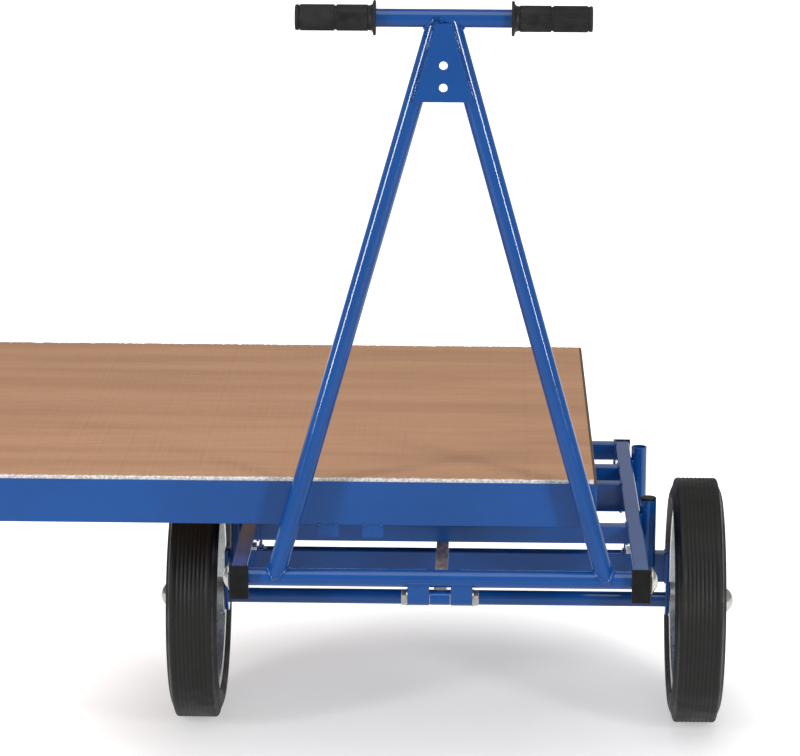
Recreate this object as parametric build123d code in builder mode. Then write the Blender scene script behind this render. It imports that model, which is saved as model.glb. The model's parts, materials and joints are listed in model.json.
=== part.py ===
from build123d import *
import os

# Platform handcart with turntable steering and an A-frame drawbar, in millimetres, +Z up.
# The deck runs along X and its steered end is at +X. The steered bogie is stored turned through
# a right angle, so its drawbar stands upright on the -Y side of the deck.
# Every size below is laid out from the steering axis at floor level. PIVOT_X and PIVOT_Y then
# place that axis so that the origin is at the bottom centre of the whole cart.

# Wheels
WHEEL_R = 205.0
TREAD_HALF = 35.0
SHOULDER_R = 5.0
SIDEWALL_HALF = 42.0
SIDEWALL_R = 177.0
BEAD_HALF = 31.0
BEAD_R = 152.0
FLANGE_R = 160.5
FLANGE_T = 3.5
RIM_T = 5.0
RIM_GAP = 0.3
HUB_HALF = 43.0
HUB_R = 30.0
HUB_FLANGE_R = 36.0
HUB_FLANGE_T = 16.0
ROLLER_R = 2.5
ROLLER_GAP = 0.06
ROLLERS = 12
ROLLER_HALF = 38.0
TRACK = 832.0

# Axles, end plates and the beams above the axles
AXLE_R = 12.5
AXLE_Z = WHEEL_R
AXLE_Y = -158.0
AXLE_MID_X = 7.0
AXLE_HALF = TRACK / 2 + HUB_HALF + 6.0
WASHER_T = 3.0
SPACER_R = 20.0
CAP_R = 22.0
CAP_TIP = 16.0
SIDE_PLAY = 0.3
END_PLATE_X = 366.0
END_PLATE_T = 6.0
END_PLATE_HALF = 26.0
END_PLATE_TOP = 288.0
BEAM_DEEP = 25.0
BEAM_TALL = 50.0
BEAM_Z = 263.0

# Bogie frame
TUBE_CORNER = 3.0
TUBE_WALL = 2.5
RAIL_X = 315.0
RAIL_WIDE = 25.0
RAIL_TALL = 50.0
RAIL_TOP = 367.0
RAIL_FRONT = -556.0
RAIL_BACK = 298.0
RAIL_CAP_T = 5.0
RAIL_INNER = RAIL_X - RAIL_WIDE / 2
MEMBER_DEEP = 25.0
LOW_MEMBER_TALL = 30.0
MEMBER_BACK_Y = 285.5
MEMBER_MIDDLE_Y = 116.5
BOLSTER_Y = 0.5
MEMBER_FRONT_Y = -279.5
BEARER_X = 90.0
SLEEVE_R = 13.5
SLEEVE_BORE_R = 11.0
SLEEVE_X = 341.0
SLEEVE_Y = 184.0
SLEEVE_BOTTOM = 271.0
SLEEVE_TOP = 385.0
PLUG_OVER_WIDE = 5.0
PLUG_OVER_TALL = 4.0
PLUG_DEEP = 12.0
PLUG_HEAD = 4.0
RAIL_BOLT_Y = -385.0
RAIL_BOLT_Z = 353.0

# Turntable between the bogie and the deck
RING_IN = 105.0
RING_OUT = 150.0
RING_T = 6.0
RACE_T = 5.0
RACE_GAP = 2.0
SKIRT_GAP = 4.0
BALL_R = 6.0
BALL_GAP = 0.1
BALLS = 40
BOLT_CIRCLE_R = 140.0
RING_BOLTS = 6
BOLT_R = 4.0
BOLT_HEAD_R = 6.5
BOLT_HEAD_T = 5.0

# Deck
DECK_LONG = 2000.0
DECK_WIDE = 1000.0
DECK_NOSE = 245.0
DECK_BOTTOM = 421.0
DECK_TOP = 496.0
BOARD_T = 18.0
BOARD_PROUD = 5.0
EDGE_T = 4.0
LIP = 31.0
BOARD_GAP = 1.0
DECK_BEARER_WIDE = 40.0
DECK_BEARER_X = (180.0, -180.0, -580.0, -970.0, -1360.0, -1540.0)
TURNTABLE_PLATE_HALF = 205.0
TURNTABLE_PLATE_CORNER = 12.0
LUG_X = (-178.0, -107.0)
LUG_WIDE = 34.0
LUG_DROP = 20.0
LUG_CORNER = 3.0

# Fixed rear axle under the deck
REAR_X = -1450.0
POST_Y = 300.0
POST_SIZE = 50.0
FOOT_HALF_X = 118.0
FOOT_HALF_Y = 60.0
GUSSET_T = 6.0
GUSSET_FOOT = 15.0
GUSSET_INSET = 8.0

# Drawbar
SHAFT_Y = -532.0
SHAFT_Z = 344.0
SHAFT_R = 10.0
SHAFT_HALF = 331.0
SHAFT_COLLAR_R = 17.0
SHAFT_CAP_R = 21.0
SHAFT_CAP_TIP = 11.0
CROSS_TUBE_R = 14.0
CROSS_TUBE_HALF = 301.5
RUNNING_GAP = 0.05
LEG_R = 15.0
LEG_BORE_R = 12.5
LEG_FOOT_X = 260.0
LEG_HEAD_X = 9.5
HANDLE_Z = 1227.0
HANDLE_R = 14.0
HANDLE_BORE_R = 11.5
HANDLE_HALF = 222.5
PLATE_BOTTOM = 1101.0
PLATE_TOP = 1221.0
PLATE_T = 5.0
PLATE_LAP = 0.5
PLATE_HOLE_R = 6.5
PLATE_HOLE_Z = (1123.0, 1157.0)
GRIP_HALF = 226.0
GRIP_INNER = 103.0
GRIP_R = 19.7
GRIP_FLANGE_R = 27.0
GRIP_FLANGE_T = 8.0
GRIP_RING_W = 5.0
GRIP_RING_RISE = 1.6

# Clevis below the cross tube and the rod that it pushes
PIN_Z = 313.0
PIN_R = 8.0
EAR_IN = 17.0
EAR_OUT = 51.0
EAR_R = 12.5
PIN_HEAD_R = 13.8
PIN_HEAD_T = 10.0
KNUCKLE_HALF = 16.0
KNUCKLE_R = 11.5
ROD_WIDE = 20.0
ROD_TALL = 12.0
ROD_BACK = 10.0
GUIDE_Y = -40.0
GUIDE_ROD_Z = 296.0
GUIDE_T = 6.0
GUIDE_HALF = 28.0
GUIDE_BOTTOM = 272.0
GUIDE_SLOT_LOW = 282.0
GUIDE_SLOT_HIGH = 310.0
GUIDE_SLOT_HALF = 13.0

CART_LOW_X = DECK_NOSE - DECK_LONG
CART_HIGH_X = AXLE_MID_X + AXLE_HALF + CAP_TIP
CART_LOW_Y = RAIL_FRONT - RAIL_CAP_T
CART_HIGH_Y = DECK_WIDE / 2
PIVOT_X = -(CART_LOW_X + CART_HIGH_X) / 2
PIVOT_Y = -(CART_LOW_Y + CART_HIGH_Y) / 2


def level(z):
    """Horizontal plane at height z: local x is X, local y is Y, normal +Z."""
    return Plane(origin=(PIVOT_X, PIVOT_Y, z))


def side(x):
    """Plane across the axles: local x is Y, local y is Z, normal +X."""
    return Plane(origin=(PIVOT_X + x, PIVOT_Y, 0), x_dir=(0, 1, 0), z_dir=(1, 0, 0))


def front(y):
    """Plane facing the drawbar's side: local x is X, local y is Z, normal -Y."""
    return Plane(origin=(PIVOT_X, PIVOT_Y + y, 0), x_dir=(1, 0, 0), z_dir=(0, -1, 0))


def bar(plane, centre, wide, tall, length):
    """Solid bar of one rectangular section, standing on the plane."""
    with BuildSketch(plane) as section:
        with Locations(centre):
            Rectangle(wide, tall)
    extrude(section.sketch, amount=length)


def box_tube(plane, centre, wide, tall, length):
    """Hollow box tube of one rounded section, standing on the plane."""
    with BuildSketch(plane) as section:
        with Locations(centre):
            RectangleRounded(wide, tall, TUBE_CORNER)
            Rectangle(wide - 2 * TUBE_WALL, tall - 2 * TUBE_WALL, mode=Mode.SUBTRACT)
    extrude(section.sketch, amount=length)


def round_bar(plane, centre, radius, length, bore=0.0, mode=Mode.ADD):
    """Round bar, or a tube where it has a bore, standing on the plane."""
    with BuildSketch(plane) as section:
        with Locations(centre):
            Circle(radius)
            if bore:
                Circle(bore, mode=Mode.SUBTRACT)
    extrude(section.sketch, amount=length, mode=mode)


def dome(plane, centre, radius, height):
    """Shallow domed cap whose flat base lies on the plane."""
    ball_r = (radius**2 + height**2) / (2 * height)
    with BuildSketch(Plane(origin=plane.from_local_coords(Vector(*centre, 0)),
                           x_dir=plane.x_dir, z_dir=-plane.y_dir)) as half:
        with BuildLine():
            RadiusArc((radius, 0), (0, height), -ball_r)
            Polyline((0, height), (0, 0), (radius, 0))
        make_face()
    axis = Axis(plane.from_local_coords(Vector(*centre, 0)), plane.z_dir)
    revolve(half.sketch, axis=axis)


def hex_head(plane, centre, radius, height):
    """Hexagon bolt head or nut standing on the plane."""
    with BuildSketch(plane) as section:
        with Locations(centre):
            RegularPolygon(radius, 6)
    extrude(section.sketch, amount=height)


def save(name, builder):
    """Labels the finished piece and writes it as its own file."""
    builder.part.label = name
    export_step(builder.part, f"parts/{name}.step")


os.makedirs("parts", exist_ok=True)

# ---------------------------------------------------------------- deck

board_wide = DECK_WIDE - 2 * (EDGE_T + BOARD_GAP)
deck_mid_x = DECK_NOSE - DECK_LONG / 2
deck_tail = DECK_NOSE - DECK_LONG
edge_tall = DECK_TOP - BOARD_PROUD - DECK_BOTTOM
end_tall = DECK_TOP - BOARD_T - DECK_BOTTOM
lip_mid_z = DECK_BOTTOM + EDGE_T / 2
bearer_tall = end_tall - EDGE_T
bearer_mid_z = DECK_BOTTOM + EDGE_T + bearer_tall / 2

# The board lies on the bearers and the end rails and stands a little proud of the side rails.
with BuildPart() as deck_board:
    with BuildSketch(level(DECK_TOP - BOARD_T)):
        with Locations((deck_mid_x, 0)):
            Rectangle(DECK_LONG, board_wide)
    extrude(amount=BOARD_T)
save("deck_board", deck_board)

# Each side rail is an angle: an upright web, and a lip that turns in below the bearers.
with BuildPart() as deck_side_rails:
    for way in (-1, 1):
        web_y = way * (DECK_WIDE / 2 - EDGE_T / 2)
        bar(side(deck_tail), (web_y, DECK_BOTTOM + edge_tall / 2), EDGE_T, edge_tall, DECK_LONG)
        lip_y = way * (DECK_WIDE / 2 - EDGE_T - LIP / 2)
        bar(side(deck_tail + EDGE_T), (lip_y, lip_mid_z), LIP, EDGE_T, DECK_LONG - 2 * EDGE_T)
save("deck_side_rails", deck_side_rails)

with BuildPart() as deck_end_rails:
    for web_x, lip_x in (
        (DECK_NOSE - EDGE_T, DECK_NOSE - EDGE_T - LIP),
        (deck_tail, deck_tail + EDGE_T),
    ):
        bar(side(web_x), (0, DECK_BOTTOM + end_tall / 2), DECK_WIDE - 2 * EDGE_T, end_tall, EDGE_T)
        bar(side(lip_x), (0, lip_mid_z), DECK_WIDE - 2 * (EDGE_T + LIP), EDGE_T, LIP)
save("deck_end_rails", deck_end_rails)

with BuildPart() as deck_bearers:
    for bearer_x in DECK_BEARER_X:
        box_tube(front(DECK_WIDE / 2 - EDGE_T), (bearer_x, bearer_mid_z),
                 DECK_BEARER_WIDE, bearer_tall, DECK_WIDE - 2 * EDGE_T)
save("deck_bearers", deck_bearers)

with BuildPart() as edge_lugs:
    for lug_x in LUG_X:
        bar(front(-DECK_WIDE / 2 + EDGE_T), (lug_x, DECK_BOTTOM - LUG_DROP / 2),
            LUG_WIDE, LUG_DROP, EDGE_T)
    fillet(edge_lugs.edges().filter_by(Axis.Y).group_by(Axis.Z)[0], LUG_CORNER)
save("edge_lugs", edge_lugs)

# ----------------------------------------------------------- turntable

race_in = RING_IN + RACE_T
ball_path_r = race_in + BALL_GAP + BALL_R
skirt_in = ball_path_r + BALL_R + BALL_GAP
upper_ring_z = DECK_BOTTOM - RING_T
race_top = upper_ring_z - RACE_GAP
skirt_bottom = RAIL_TOP + RING_T + SKIRT_GAP


def ring_bolt_places():
    """The bolt circle that both turntable rings share."""
    return PolarLocations(BOLT_CIRCLE_R, RING_BOLTS)


def ring_bolt_holes(z, depth):
    """Clears the turntable bolts through whatever lies just above the height z."""
    with BuildSketch(level(z)) as holes:
        with ring_bolt_places():
            Circle(BOLT_R)
    extrude(holes.sketch, amount=depth, mode=Mode.SUBTRACT)


with BuildPart() as turntable_plate:
    with BuildSketch(level(DECK_BOTTOM)):
        RectangleRounded(2 * TURNTABLE_PLATE_HALF, 2 * TURNTABLE_PLATE_HALF,
                          TURNTABLE_PLATE_CORNER)
        with ring_bolt_places():
            Circle(BOLT_R, mode=Mode.SUBTRACT)
    extrude(amount=EDGE_T)
save("turntable_plate", turntable_plate)

with BuildPart() as turntable_upper_ring:
    round_bar(level(upper_ring_z), (0, 0), RING_OUT, RING_T, bore=RING_IN)
    round_bar(level(skirt_bottom), (0, 0), skirt_in + RACE_T, upper_ring_z - skirt_bottom, bore=skirt_in)
    ring_bolt_holes(upper_ring_z, RING_T)
save("turntable_upper_ring", turntable_upper_ring)

with BuildPart() as turntable_lower_ring:
    round_bar(level(RAIL_TOP), (0, 0), RING_OUT, RING_T, bore=RING_IN)
    round_bar(level(RAIL_TOP + RING_T), (0, 0), race_in, race_top - RAIL_TOP - RING_T, bore=RING_IN)
    ring_bolt_holes(RAIL_TOP, RING_T)
save("turntable_lower_ring", turntable_lower_ring)

with BuildPart() as turntable_balls:
    with Locations(level((RAIL_TOP + DECK_BOTTOM) / 2)):
        with PolarLocations(ball_path_r, BALLS):
            Sphere(BALL_R)
save("turntable_balls", turntable_balls)

# Upper bolts hang head down below the upper ring, with their nuts on top of the plate.
with BuildPart() as upper_ring_bolts:
    with BuildSketch(level(upper_ring_z - BOLT_HEAD_T)) as heads:
        with ring_bolt_places():
            RegularPolygon(BOLT_HEAD_R, 6)
    extrude(heads.sketch, amount=BOLT_HEAD_T)
    with BuildSketch(level(upper_ring_z)) as shanks:
        with ring_bolt_places():
            Circle(BOLT_R)
    extrude(shanks.sketch, amount=RING_T + EDGE_T)
    with BuildSketch(level(DECK_BOTTOM + EDGE_T)) as nuts:
        with ring_bolt_places():
            RegularPolygon(BOLT_HEAD_R, 6)
    extrude(nuts.sketch, amount=BOLT_HEAD_T)
save("upper_ring_bolts", upper_ring_bolts)

with BuildPart() as lower_ring_bolts:
    with BuildSketch(level(RAIL_TOP + RING_T)) as heads:
        with ring_bolt_places():
            RegularPolygon(BOLT_HEAD_R, 6)
    extrude(heads.sketch, amount=BOLT_HEAD_T)
    with BuildSketch(level(RAIL_TOP - TUBE_WALL)) as shanks:
        with ring_bolt_places():
            Circle(BOLT_R)
    extrude(shanks.sketch, amount=RING_T + TUBE_WALL)
save("lower_ring_bolts", lower_ring_bolts)

# --------------------------------------------------------- bogie frame

rail_mid_z = RAIL_TOP - RAIL_TALL / 2
low_member_z = RAIL_TOP - LOW_MEMBER_TALL / 2
rail_long = RAIL_BACK - RAIL_FRONT

for rail_name, rail_x in (("bogie_rail_left", -RAIL_X), ("bogie_rail_right", RAIL_X)):
    with BuildPart() as rail:
        box_tube(front(RAIL_BACK), (rail_x, rail_mid_z), RAIL_WIDE, RAIL_TALL, rail_long)
        round_bar(side(rail_x - RAIL_WIDE / 2), (SHAFT_Y, SHAFT_Z), SHAFT_R, RAIL_WIDE,
                  mode=Mode.SUBTRACT)
        round_bar(side(rail_x - RAIL_WIDE / 2), (RAIL_BOLT_Y, RAIL_BOLT_Z), BOLT_R, RAIL_WIDE,
                  mode=Mode.SUBTRACT)
    save(rail_name, rail)


def cross_member(y, tall):
    """One box tube between the rails, its top flush with theirs."""
    box_tube(side(-RAIL_INNER), (y, RAIL_TOP - tall / 2), MEMBER_DEEP, tall, 2 * RAIL_INNER)


with BuildPart() as bolster:
    cross_member(BOLSTER_Y, RAIL_TALL)
    ring_bolt_holes(RAIL_TOP - TUBE_WALL, TUBE_WALL)
save("bolster", bolster)

with BuildPart() as cross_members:
    for member_y in (MEMBER_FRONT_Y, MEMBER_MIDDLE_Y, MEMBER_BACK_Y):
        cross_member(member_y, LOW_MEMBER_TALL)
    ring_bolt_holes(RAIL_TOP - TUBE_WALL, TUBE_WALL)
save("cross_members", cross_members)

# Two bearers carry the turntable forward of the bolster, and a short piece joins them.
front_gap = BOLSTER_Y - MEMBER_FRONT_Y - MEMBER_DEEP
with BuildPart() as turntable_bearers:
    for way in (-1, 1):
        box_tube(front(BOLSTER_Y - MEMBER_DEEP / 2), (way * BEARER_X, low_member_z),
                 MEMBER_DEEP, LOW_MEMBER_TALL, front_gap)
    box_tube(side(-BEARER_X + MEMBER_DEEP / 2), (-MEMBER_MIDDLE_Y, low_member_z),
             MEMBER_DEEP, LOW_MEMBER_TALL, 2 * BEARER_X - MEMBER_DEEP)
    ring_bolt_holes(RAIL_TOP - TUBE_WALL, TUBE_WALL)
save("turntable_bearers", turntable_bearers)

with BuildPart() as sleeves:
    for way in (-1, 1):
        for sleeve_y in (-SLEEVE_Y, SLEEVE_Y):
            round_bar(level(SLEEVE_BOTTOM), (way * SLEEVE_X, sleeve_y), SLEEVE_R,
                      SLEEVE_TOP - SLEEVE_BOTTOM, bore=SLEEVE_BORE_R)
save("sleeves", sleeves)

# Black plastic plugs close both ends of each rail and the tops of the two front sleeves.
with BuildPart() as end_plugs:
    for way in (-1, 1):
        for flange_y in (RAIL_FRONT, RAIL_BACK + RAIL_CAP_T):
            bar(front(flange_y), (way * RAIL_X, rail_mid_z),
                RAIL_WIDE + PLUG_OVER_WIDE, RAIL_TALL + PLUG_OVER_TALL, RAIL_CAP_T)
        for stem_y in (RAIL_FRONT + PLUG_DEEP, RAIL_BACK):
            bar(front(stem_y), (way * RAIL_X, rail_mid_z),
                RAIL_WIDE - 2 * TUBE_WALL, RAIL_TALL - 2 * TUBE_WALL, PLUG_DEEP)
        round_bar(level(SLEEVE_TOP), (way * SLEEVE_X, -SLEEVE_Y), SLEEVE_R, PLUG_HEAD)
        round_bar(level(SLEEVE_TOP - PLUG_DEEP), (way * SLEEVE_X, -SLEEVE_Y), SLEEVE_BORE_R, PLUG_DEEP)
save("end_plugs", end_plugs)

with BuildPart() as rail_bolts:
    for way in (-1, 1):
        inner_x = way * RAIL_INNER
        head_x = inner_x if way < 0 else inner_x - BOLT_HEAD_T
        hex_head(side(head_x), (RAIL_BOLT_Y, RAIL_BOLT_Z), BOLT_HEAD_R, BOLT_HEAD_T)
        shank_x = inner_x if way > 0 else inner_x - RAIL_WIDE
        round_bar(side(shank_x), (RAIL_BOLT_Y, RAIL_BOLT_Z), BOLT_R, RAIL_WIDE)
save("rail_bolts", rail_bolts)

with BuildPart() as front_axle_beam:
    box_tube(side(AXLE_MID_X - END_PLATE_X), (AXLE_Y, BEAM_Z), BEAM_DEEP, BEAM_TALL, 2 * END_PLATE_X)
save("front_axle_beam", front_axle_beam)

hanger_low = BEAM_Z + BEAM_TALL / 2
with BuildPart() as axle_hangers:
    for way in (-1, 1):
        box_tube(level(hanger_low), (way * RAIL_X, AXLE_Y), RAIL_WIDE, BEAM_DEEP,
                 RAIL_TOP - RAIL_TALL - hanger_low)
save("axle_hangers", axle_hangers)

# -------------------------------------------------- axles and fittings


def axle_plane(rear, offset):
    """Plane square to an axle, offset along it: the front axle lies along X, the rear along Y."""
    if rear:
        return Plane(origin=(PIVOT_X + REAR_X, PIVOT_Y + offset, 0), x_dir=(-1, 0, 0), z_dir=(0, 1, 0))
    return Plane(origin=(PIVOT_X + AXLE_MID_X + offset, PIVOT_Y + AXLE_Y, 0), x_dir=(0, 1, 0), z_dir=(1, 0, 0))


axle_centre = (0, AXLE_Z)
hub_outer = TRACK / 2 + HUB_HALF
hub_inner = TRACK / 2 - HUB_HALF
plate_outer = END_PLATE_X + END_PLATE_T

for end_name, rear in (("front", False), ("rear", True)):
    with BuildPart() as end_plates:
        for low in (-plate_outer, END_PLATE_X):
            with BuildSketch(axle_plane(rear, low)) as plate:
                with Locations(axle_centre):
                    Circle(END_PLATE_HALF)
                with Locations((0, (END_PLATE_TOP + AXLE_Z) / 2)):
                    Rectangle(2 * END_PLATE_HALF, END_PLATE_TOP - AXLE_Z)
                with Locations(axle_centre):
                    Circle(AXLE_R, mode=Mode.SUBTRACT)
            extrude(plate.sketch, amount=END_PLATE_T)
    save(f"{end_name}_end_plates", end_plates)

    with BuildPart() as axle:
        round_bar(axle_plane(rear, -AXLE_HALF), axle_centre, AXLE_R, 2 * AXLE_HALF)
        chamfer(axle.edges().filter_by(GeomType.CIRCLE), 1)
    save(f"{end_name}_axle", axle)

    # A spacer inboard of each hub, and a washer and a domed push cap outboard of it.
    with BuildPart() as axle_fittings:
        spacer = hub_inner - plate_outer - SIDE_PLAY
        outer_washer = hub_outer + SIDE_PLAY
        for low, long in (
            (plate_outer, spacer),
            (-plate_outer - spacer, spacer),
            (outer_washer, WASHER_T),
            (-outer_washer - WASHER_T, WASHER_T),
        ):
            round_bar(axle_plane(rear, low), axle_centre, SPACER_R, long, bore=AXLE_R)
        dome(axle_plane(rear, AXLE_HALF), axle_centre, CAP_R, CAP_TIP)
    with BuildPart() as axle_caps:
        add(axle_fittings.part)
        mirror(axle_fittings.part, about=axle_plane(rear, 0))
    save(f"{end_name}_axle_caps", axle_caps)

with BuildPart() as rear_axle_beam:
    box_tube(axle_plane(True, -END_PLATE_X), (0, BEAM_Z), BEAM_DEEP, BEAM_TALL, 2 * END_PLATE_X)
save("rear_axle_beam", rear_axle_beam)

post_low = BEAM_Z + BEAM_TALL / 2
# Each rear post is welded to a foot plate that bolts up under two deck bearers.
with BuildPart() as rear_posts:
    for way in (-1, 1):
        box_tube(level(post_low), (REAR_X, way * POST_Y), POST_SIZE, POST_SIZE, DECK_BOTTOM - post_low)
        bar(level(DECK_BOTTOM), (REAR_X, way * POST_Y), 2 * FOOT_HALF_X, 2 * FOOT_HALF_Y, EDGE_T)
save("rear_posts", rear_posts)

with BuildPart() as rear_gussets:
    for post_y in (-POST_Y, POST_Y):
        for way in (-1, 1):
            face_x = REAR_X + way * POST_SIZE / 2
            with BuildSketch(front(post_y + GUSSET_T / 2)) as web:
                tip_x = REAR_X + way * (FOOT_HALF_X - GUSSET_INSET)
                with BuildLine():
                    Polyline((face_x, post_low + GUSSET_FOOT), (face_x, DECK_BOTTOM),
                             (tip_x, DECK_BOTTOM), close=True)
                make_face()
            extrude(web.sketch, amount=GUSSET_T)
save("rear_gussets", rear_gussets)

# -------------------------------------------------------------- wheels

wheel_places = {
    "front_left": (False, -TRACK / 2),
    "front_right": (False, TRACK / 2),
    "rear_near": (True, -TRACK / 2),
    "rear_far": (True, TRACK / 2),
}
roller_ring_r = AXLE_R + ROLLER_GAP + ROLLER_R
hub_bore_r = roller_ring_r + ROLLER_R + ROLLER_GAP


def wheel_profile_plane(rear, offset):
    """Plane through an axle at a wheel's middle: local x runs along the axle, local y is the radius."""
    centre = axle_plane(rear, offset).from_local_coords(Vector(*axle_centre, 0))
    along = axle_plane(rear, offset).z_dir
    return Plane(origin=centre, x_dir=along, z_dir=along.cross(Vector(0, 0, 1)))


step_x = BEAD_HALF + FLANGE_T + RIM_GAP
step_r = FLANGE_R + RIM_GAP
shoulder_x = TREAD_HALF - SHOULDER_R
shoulder_low = WHEEL_R - SHOULDER_R

for place, (rear, offset) in wheel_places.items():
    profile_plane = wheel_profile_plane(rear, offset)
    wheel_axis = Axis(profile_plane.origin, profile_plane.x_dir)

    # Solid rubber: flat tread, round shoulders, bulged sidewalls, and a step over the rim flanges.
    with BuildPart() as tyre:
        with BuildSketch(profile_plane):
            with BuildLine():
                Polyline((-step_x, step_r), (-BEAD_HALF, step_r), (-BEAD_HALF, BEAD_R),
                         (BEAD_HALF, BEAD_R), (BEAD_HALF, step_r), (step_x, step_r))
                ThreePointArc((step_x, step_r), (SIDEWALL_HALF, SIDEWALL_R), (TREAD_HALF, shoulder_low))
                CenterArc((shoulder_x, shoulder_low), SHOULDER_R, 0, 90)
                Line((shoulder_x, WHEEL_R), (-shoulder_x, WHEEL_R))
                CenterArc((-shoulder_x, shoulder_low), SHOULDER_R, 90, 90)
                ThreePointArc((-TREAD_HALF, shoulder_low), (-SIDEWALL_HALF, SIDEWALL_R), (-step_x, step_r))
            make_face()
        revolve(axis=wheel_axis)
    save(f"{place}_tyre", tyre)

    # Pressed steel: a band with two flanges, and a disc that reaches in to the hub.
    with BuildPart() as rim:
        with BuildSketch(profile_plane):
            with Locations((0, BEAD_R - RIM_T / 2)):
                Rectangle(2 * (BEAD_HALF + FLANGE_T), RIM_T)
            for way in (-1, 1):
                with Locations((way * (BEAD_HALF + FLANGE_T / 2), (FLANGE_R + BEAD_R) / 2)):
                    Rectangle(FLANGE_T, FLANGE_R - BEAD_R)
            with Locations((0, (HUB_FLANGE_R + BEAD_R - RIM_T) / 2)):
                Rectangle(RIM_T, BEAD_R - RIM_T - HUB_FLANGE_R)
        revolve(axis=wheel_axis)
    save(f"{place}_rim", rim)

    with BuildPart() as hub:
        with BuildSketch(profile_plane):
            with Locations((0, (HUB_R + hub_bore_r) / 2)):
                Rectangle(2 * HUB_HALF, HUB_R - hub_bore_r)
            with Locations((0, (HUB_FLANGE_R + HUB_R) / 2)):
                Rectangle(HUB_FLANGE_T, HUB_FLANGE_R - HUB_R)
        revolve(axis=wheel_axis)
    save(f"{place}_hub", hub)

    with BuildPart() as rollers:
        with BuildSketch(axle_plane(rear, offset - ROLLER_HALF)):
            with Locations(axle_centre):
                with PolarLocations(roller_ring_r, ROLLERS):
                    Circle(ROLLER_R)
        extrude(amount=2 * ROLLER_HALF)
    save(f"{place}_rollers", rollers)

# ------------------------------------------------------------- drawbar

with BuildPart() as drawbar_shaft:
    round_bar(side(-SHAFT_HALF), (SHAFT_Y, SHAFT_Z), SHAFT_R, 2 * SHAFT_HALF)
save("drawbar_shaft", drawbar_shaft)

rail_outer = RAIL_X + RAIL_WIDE / 2
with BuildPart() as shaft_fittings:
    round_bar(side(rail_outer), (SHAFT_Y, SHAFT_Z), SHAFT_COLLAR_R, SHAFT_HALF - rail_outer, bore=SHAFT_R)
    dome(side(SHAFT_HALF), (SHAFT_Y, SHAFT_Z), SHAFT_CAP_R, SHAFT_CAP_TIP)
with BuildPart() as shaft_caps:
    add(shaft_fittings.part)
    mirror(shaft_fittings.part, about=side(0))
save("drawbar_shaft_caps", shaft_caps)

with BuildPart() as cross_tube:
    round_bar(side(-CROSS_TUBE_HALF), (SHAFT_Y, SHAFT_Z), CROSS_TUBE_R, 2 * CROSS_TUBE_HALF,
              bore=SHAFT_R + RUNNING_GAP)
save("cross_tube", cross_tube)

with BuildPart() as handle_tube:
    round_bar(side(-HANDLE_HALF), (SHAFT_Y, HANDLE_Z), HANDLE_R, 2 * HANDLE_HALF, bore=HANDLE_BORE_R)
save("handle_tube", handle_tube)

# Each leg leans in from the cross tube to the handle tube. Its ends are cut to fit both tubes, and
# the heads of the two legs meet at a mitre on the centre line.
for leg_name, way in (("drawbar_leg_left", -1), ("drawbar_leg_right", 1)):
    foot = Vector(PIVOT_X + way * LEG_FOOT_X, PIVOT_Y + SHAFT_Y, SHAFT_Z)
    head = Vector(PIVOT_X + way * LEG_HEAD_X, PIVOT_Y + SHAFT_Y, HANDLE_Z)
    with BuildPart() as leg:
        with BuildSketch(Plane(origin=foot, x_dir=(0, 1, 0), z_dir=head - foot)):
            Circle(LEG_R)
            Circle(LEG_BORE_R, mode=Mode.SUBTRACT)
        extrude(amount=(head - foot).length)
        for tube_z, tube_r in ((SHAFT_Z, CROSS_TUBE_R), (HANDLE_Z, HANDLE_R)):
            round_bar(side(-LEG_FOOT_X - 2 * LEG_R), (SHAFT_Y, tube_z), tube_r,
                      2 * LEG_FOOT_X + 4 * LEG_R, mode=Mode.SUBTRACT)
        split(bisect_by=side(0), keep=Keep.TOP if way > 0 else Keep.BOTTOM)
    save(leg_name, leg)


def plate_half(z):
    """Half the gusset plate's width at height z: it just laps over both legs' centre lines."""
    lean = (LEG_FOOT_X - LEG_HEAD_X) / (HANDLE_Z - SHAFT_Z)
    return LEG_HEAD_X + lean * (HANDLE_Z - z) + PLATE_LAP


# The gusset plate lies flat against the front of both legs, below the handle tube.
with BuildPart() as gusset_plate:
    with BuildSketch(front(SHAFT_Y - LEG_R)):
        low_x, high_x = plate_half(PLATE_BOTTOM), plate_half(PLATE_TOP)
        Polygon((-low_x, PLATE_BOTTOM), (low_x, PLATE_BOTTOM), (high_x, PLATE_TOP),
                (-high_x, PLATE_TOP), align=None)
        with Locations(*((0, hole_z) for hole_z in PLATE_HOLE_Z)):
            Circle(PLATE_HOLE_R, mode=Mode.SUBTRACT)
    extrude(amount=PLATE_T)
save("gusset_plate", gusset_plate)

for grip_name, way in (("grip_left", -1), ("grip_right", 1)):
    with BuildPart() as grip:
        for start, long, radius in (
            (GRIP_INNER, GRIP_HALF - GRIP_INNER, GRIP_R),
            (GRIP_INNER, GRIP_FLANGE_T, GRIP_FLANGE_R),
            ((GRIP_INNER + GRIP_HALF) / 2, GRIP_RING_W, GRIP_R + GRIP_RING_RISE),
            (GRIP_HALF - 3 * GRIP_RING_W, GRIP_RING_W, GRIP_R + GRIP_RING_RISE),
        ):
            low = start if way > 0 else -start - long
            round_bar(side(low), (SHAFT_Y, HANDLE_Z), radius, long)
        bore_low = GRIP_INNER if way > 0 else -HANDLE_HALF
        round_bar(side(bore_low), (SHAFT_Y, HANDLE_Z), HANDLE_R, HANDLE_HALF - GRIP_INNER, mode=Mode.SUBTRACT)
    save(grip_name, grip)

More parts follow.
